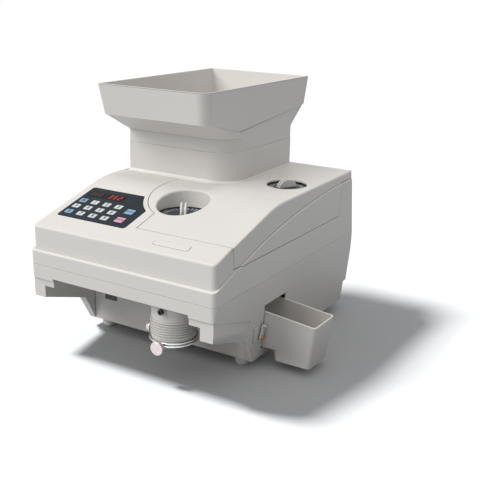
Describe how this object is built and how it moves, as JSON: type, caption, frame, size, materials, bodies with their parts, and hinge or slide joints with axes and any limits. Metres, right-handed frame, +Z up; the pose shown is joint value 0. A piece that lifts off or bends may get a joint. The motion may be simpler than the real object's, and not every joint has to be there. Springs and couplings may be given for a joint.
{
  "type": "coin counting machine",
  "caption": "Desktop coin counter with a flared top hopper, hinged cover, sloping keypad, two setting dials, a ribbed bag spout with spring clamp and a side reject bin.",
  "frame": {"origin": "middle of the overall box, on the floor under the feet", "axes": "+X to the right (bin side), +Y to the back, +Z up"},
  "size_m": [0.3846, 0.4422, 0.37],
  "materials": {
    "casing": "off-white moulded plastic with a fine grain",
    "casing_inner": "off-white moulded plastic",
    "foot": "pale foot with a rubber pad",
    "panel": "slate keypad film",
    "display": "dark display window",
    "key_white": "white key",
    "key_blue": "light blue key",
    "key_pink": "pink key",
    "board": "green circuit board",
    "steel": "plain steel sheet",
    "bright": "turned metal",
    "motor": "dark motor casing",
    "belt": "black rubber",
    "black": "black plastic",
    "dial": "dark dial",
    "grip": "pale grip",
    "chrome": "bright spring wire",
    "thumb": "bright thumb disc with a warm tint",
    "brass": "brass screw"
  },
  "bodies": {
    "chassis": {"lower_housing": "casing", "base_tray": "casing_inner", "feet": "foot", "upper_housing": "casing", "keypad_panel": "panel", "display_windows": "display", "control_board": "board", "deck_plate": "steel", "disc_bearing": "bright", "drive_motor": "motor", "drive_belt": "belt", "guide_rail": "steel", "transport_bridge": "steel", "transport_motor": "motor", "transport_belt": "belt", "count_sensor": "black", "dial_brackets": "steel", "reject_chute": "steel", "coin_spout": "casing_inner", "spout_screw": "black", "power_supply": "steel", "power_inlet": "black", "hinge_pins": "bright", "latch_plate": "grip", "latch_screw": "brass"},
    "cover": {"lid": "casing", "hopper": "casing", "throat_funnel": "casing_inner"},
    "diameter_setting": {"diameter_dial": "dial", "diameter_grip": "grip"},
    "coin_guide": {"coin_guide": "steel"},
    "thickness_setting": {"thickness_dial": "dial", "thickness_grip": "grip"},
    "thickness_shoe": {"thickness_shoe": "steel"},
    "feed_disc": {"feed_disc": "bright", "disc_shaft": "bright"},
    "motor_pulley": {"motor_pulley": "bright"},
    "belt_pulley_front": {"belt_pulley_front": "bright"},
    "belt_pulley_rear": {"belt_pulley_rear": "bright"},
    "release_button": {"release_button": "casing"},
    "power_switch": {"power_switch": "black"},
    "reject_bin": {"reject_bin": "casing"},
    "bin_latch": {"bin_latch": "grip"},
    "bag_clamp": {"bag_clamp": "chrome", "clamp_discs": "thumb"},
    "key_mode": {"key_mode": "key_blue"},
    "key_1": {"key_1": "key_white"},
    "key_2": {"key_2": "key_white"},
    "key_3": {"key_3": "key_white"},
    "key_add": {"key_add": "key_white"},
    "key_4": {"key_4": "key_white"},
    "key_5": {"key_5": "key_white"},
    "key_6": {"key_6": "key_white"},
    "key_batch": {"key_batch": "key_blue"},
    "key_7": {"key_7": "key_white"},
    "key_8": {"key_8": "key_white"},
    "key_9": {"key_9": "key_white"},
    "key_start": {"key_start": "key_blue"},
    "key_clear": {"key_clear": "key_pink"}
  },
  "joints": [
    {"name": "lid_hinge", "type": "hinge", "parent": "chassis", "child": "cover", "pos_m": [-0.0373, 0.18535, 0.21906], "axis": [-1, 0, 0], "range_deg": [0, 60]},
    {"name": "diameter_dial_turn", "type": "hinge", "parent": "chassis", "child": "diameter_setting", "pos_m": [-0.0178, -0.09515, 0.201], "axis": [0, 0, 1], "range_deg": [-90, 90]},
    {"name": "coin_guide_slide", "type": "slide", "parent": "chassis", "child": "coin_guide", "axis": [1, 0, 0], "range_m": [-0.0094, 0.0094]},
    {"name": "thickness_dial_turn", "type": "hinge", "parent": "chassis", "child": "thickness_setting", "pos_m": [0.0707, 0.04285, 0.226], "axis": [0, 0, 1], "range_deg": [-135, 135]},
    {"name": "thickness_shoe_lift", "type": "slide", "parent": "chassis", "child": "thickness_shoe", "axis": [0, 0, 1], "range_m": [-0.0015, 0.0015]},
    {"name": "feed_disc_spin", "type": "hinge", "parent": "chassis", "child": "feed_disc", "pos_m": [-0.08035, 0.07185, 0.151], "axis": [0, 0, 1], "continuous": true},
    {"name": "motor_pulley_spin", "type": "hinge", "parent": "chassis", "child": "motor_pulley", "pos_m": [0.03265, 0.07885, 0.105], "axis": [0, 0, 1], "continuous": true},
    {"name": "front_pulley_spin", "type": "hinge", "parent": "chassis", "child": "belt_pulley_front", "pos_m": [0.0147, -0.14615, 0.166], "axis": [1, 0, 0], "continuous": true},
    {"name": "rear_pulley_spin", "type": "hinge", "parent": "chassis", "child": "belt_pulley_rear", "pos_m": [0.0147, -0.00615, 0.166], "axis": [1, 0, 0], "continuous": true},
    {"name": "release_press", "type": "slide", "parent": "chassis", "child": "release_button", "axis": [0, 0.2768, -0.9609], "range_m": [0, 0.002], "stiffness_N_per_m": 900, "springref_m": -0.002},
    {"name": "power_rocker", "type": "hinge", "parent": "chassis", "child": "power_switch", "pos_m": [-0.0883, 0.17985, 0.07], "axis": [-1, 0, 0], "range_deg": [0, 12]},
    {"name": "bin_slide", "type": "slide", "parent": "chassis", "child": "reject_bin", "axis": [1, 0, 0], "range_m": [0, 0.13]},
    {"name": "latch_swing", "type": "hinge", "parent": "chassis", "child": "bin_latch", "pos_m": [0.11424, -0.09765, 0.04677], "axis": [0.9971, 0, -0.0767], "range_deg": [0, 60]},
    {"name": "clamp_slide", "type": "slide", "parent": "chassis", "child": "bag_clamp", "axis": [0, 0, -1], "range_m": [0, 0.03]},
    {"name": "key_mode_press", "type": "slide", "parent": "chassis", "child": "key_mode", "axis": [0, 0.2768, -0.9609], "range_m": [0, 0.0008], "stiffness_N_per_m": 800, "springref_m": -0.001},
    {"name": "key_1_press", "type": "slide", "parent": "chassis", "child": "key_1", "axis": [0, 0.2768, -0.9609], "range_m": [0, 0.0008], "stiffness_N_per_m": 800, "springref_m": -0.001},
    {"name": "key_2_press", "type": "slide", "parent": "chassis", "child": "key_2", "axis": [0, 0.2768, -0.9609], "range_m": [0, 0.0008], "stiffness_N_per_m": 800, "springref_m": -0.001},
    {"name": "key_3_press", "type": "slide", "parent": "chassis", "child": "key_3", "axis": [0, 0.2768, -0.9609], "range_m": [0, 0.0008], "stiffness_N_per_m": 800, "springref_m": -0.001},
    {"name": "key_add_press", "type": "slide", "parent": "chassis", "child": "key_add", "axis": [0, 0.2768, -0.9609], "range_m": [0, 0.0008], "stiffness_N_per_m": 800, "springref_m": -0.001},
    {"name": "key_4_press", "type": "slide", "parent": "chassis", "child": "key_4", "axis": [0, 0.2768, -0.9609], "range_m": [0, 0.0008], "stiffness_N_per_m": 800, "springref_m": -0.001},
    {"name": "key_5_press", "type": "slide", "parent": "chassis", "child": "key_5", "axis": [0, 0.2768, -0.9609], "range_m": [0, 0.0008], "stiffness_N_per_m": 800, "springref_m": -0.001},
    {"name": "key_6_press", "type": "slide", "parent": "chassis", "child": "key_6", "axis": [0, 0.2768, -0.9609], "range_m": [0, 0.0008], "stiffness_N_per_m": 800, "springref_m": -0.001},
    {"name": "key_batch_press", "type": "slide", "parent": "chassis", "child": "key_batch", "axis": [0, 0.2768, -0.9609], "range_m": [0, 0.0008], "stiffness_N_per_m": 800, "springref_m": -0.001},
    {"name": "key_7_press", "type": "slide", "parent": "chassis", "child": "key_7", "axis": [0, 0.2768, -0.9609], "range_m": [0, 0.0008], "stiffness_N_per_m": 800, "springref_m": -0.001},
    {"name": "key_8_press", "type": "slide", "parent": "chassis", "child": "key_8", "axis": [0, 0.2768, -0.9609], "range_m": [0, 0.0008], "stiffness_N_per_m": 800, "springref_m": -0.001},
    {"name": "key_9_press", "type": "slide", "parent": "chassis", "child": "key_9", "axis": [0, 0.2768, -0.9609], "range_m": [0, 0.0008], "stiffness_N_per_m": 800, "springref_m": -0.001},
    {"name": "key_start_press", "type": "slide", "parent": "chassis", "child": "key_start", "axis": [0, 0.2768, -0.9609], "range_m": [0, 0.0008], "stiffness_N_per_m": 800, "springref_m": -0.001},
    {"name": "key_clear_press", "type": "slide", "parent": "chassis", "child": "key_clear", "axis": [0, 0.2768, -0.9609], "range_m": [0, 0.0008], "stiffness_N_per_m": 800, "springref_m": -0.001}
  ],
  "couplings": [
    {"joint": "diameter_dial_turn", "follows": "coin_guide_slide", "rad_per_m": -166.67},
    {"joint": "thickness_dial_turn", "follows": "thickness_shoe_lift", "rad_per_m": 1572.3},
    {"joint": "motor_pulley_spin", "follows": "feed_disc_spin", "ratio": 3},
    {"joint": "rear_pulley_spin", "follows": "front_pulley_spin", "ratio": 1}
  ]
}
